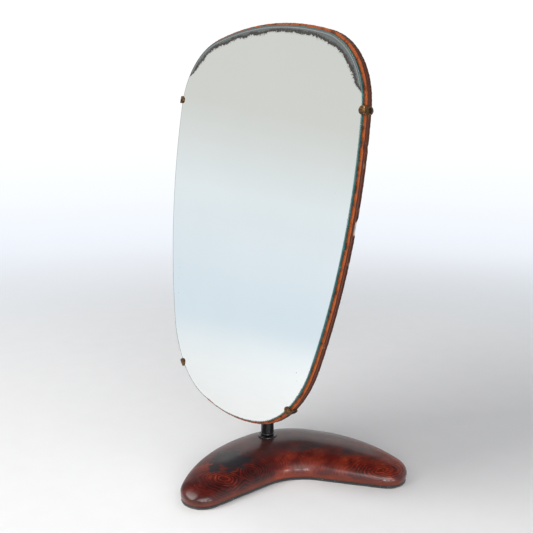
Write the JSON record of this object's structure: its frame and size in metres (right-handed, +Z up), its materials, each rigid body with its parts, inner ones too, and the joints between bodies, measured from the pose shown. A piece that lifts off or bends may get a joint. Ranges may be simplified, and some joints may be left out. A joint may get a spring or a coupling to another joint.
{
  "type": "table mirror",
  "caption": "Freestanding vanity mirror: rounded frameless glass clipped to a plywood board, tilting on a black post that swivels in a domed boomerang-shaped wood base",
  "frame": {"origin": "on the table plane, on the post's vertical axis", "axes": "+Z up along the post; the base's hollow side faces -Y; the swivelling mirror is stored turned 64.5 degrees clockwise from facing -Y, as it stands in use"},
  "size_m": [0.2716, 0.3093, 0.5307],
  "materials": {
    "rosewood": "dark red-brown lacquer, semi-gloss, worn and stained blue-black in places",
    "felt": "black felt",
    "black_enamel": "gloss black",
    "plain_steel": "plain zinc-grey steel",
    "aged_brass": "dulled, brown with age",
    "red_fibre": "vulcanised fibre",
    "plywood": "stained and varnished, layers showing at the edge",
    "mirror_glass": "silvered at the back, silver lost in a ragged band along the top"
  },
  "bodies": {
    "base": {"base_body": "rosewood", "base_pad": "felt", "base_bush": "black_enamel"},
    "post": {"post": "black_enamel", "tilt_eye": "black_enamel", "swivel_washer": "plain_steel", "swivel_spring_washer": "plain_steel", "swivel_nut": "plain_steel"},
    "mirror": {"mirror_glass": "mirror_glass", "backing_board": "plywood", "tilt_fork": "black_enamel", "tilt_bolt": "plain_steel", "tilt_outer_washer": "plain_steel", "tilt_knob": "black_enamel", "friction_washer_left": "red_fibre", "friction_washer_right": "red_fibre", "clip_upper_left": "aged_brass", "clip_upper_right": "aged_brass", "clip_lower_left": "aged_brass", "clip_lower_right": "aged_brass", "clip_screw_upper_left": "aged_brass", "clip_screw_upper_right": "aged_brass", "clip_screw_lower_left": "aged_brass", "clip_screw_lower_right": "aged_brass", "plate_screw_upper_left": "plain_steel", "plate_screw_upper_right": "plain_steel", "plate_screw_lower_left": "plain_steel", "plate_screw_lower_right": "plain_steel"}
  },
  "joints": [
    {"name": "swivel", "type": "hinge", "parent": "base", "child": "post", "pos_m": [0, 0, 0], "axis": [0, 0, 1], "continuous": true},
    {"name": "tilt", "type": "hinge", "parent": "post", "child": "mirror", "pos_m": [0, 0, 0.301], "axis": [0.4305, -0.9026, 0], "range_deg": [-40, 9.9]}
  ]
}
